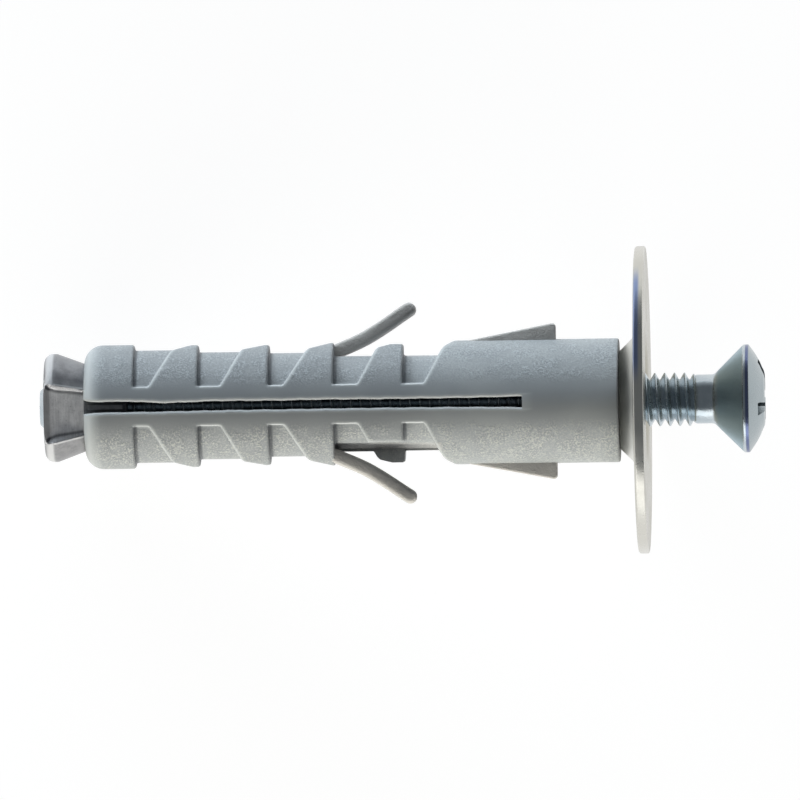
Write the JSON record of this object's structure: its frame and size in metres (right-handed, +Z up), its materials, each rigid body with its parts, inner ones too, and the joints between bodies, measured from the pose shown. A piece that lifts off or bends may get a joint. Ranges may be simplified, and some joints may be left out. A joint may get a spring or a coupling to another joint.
{
  "type": "screw anchor",
  "caption": "Slotted plastic wall plug with catch pockets, side barbs and fins, a metal cone nut in its tip, a dished washer on its mouth and a raised countersunk machine screw.",
  "frame": {"origin": "floor point under the middle of the anchor's bounding box, as it lies at rest on the plug's nose and the washer's rim", "axes": "+X along the floor from the plug's tip towards the screw's head, +Z up; the screw's axis rises 9.77 degrees from +X towards +Z, the slot faces up and down and the barbs point to +Y and -Y"},
  "size_m": [0.0512, 0.0218, 0.0216],
  "materials": {
    "nylon": "fine eroded mould texture",
    "cast_nut": "as cast and plated, satin",
    "plated_washer": "zinc plated, semi bright",
    "plated_screw": "blue zinc plated, bright"
  },
  "bodies": {
    "plug": {"plug_sleeve": "nylon", "cone_nut": "cast_nut"},
    "washer": {"dished_washer": "plated_washer"},
    "screw": {"oval_head_screw": "plated_screw"}
  },
  "joints": [
    {"name": "screw_turn", "type": "hinge", "parent": "plug", "child": "washer", "pos_m": [0.01634, 0, 0.01073], "axis": [-0.9855, 0, -0.1697], "range_deg": [-2164, 3568]},
    {"name": "screw_travel", "type": "slide", "parent": "washer", "child": "screw", "axis": [-0.9855, 0, -0.1697], "range_m": [-0.0042, 0.00693]}
  ],
  "couplings": [
    {"joint": "screw_turn", "follows": "screw_travel", "rad_per_m": 8976}
  ]
}
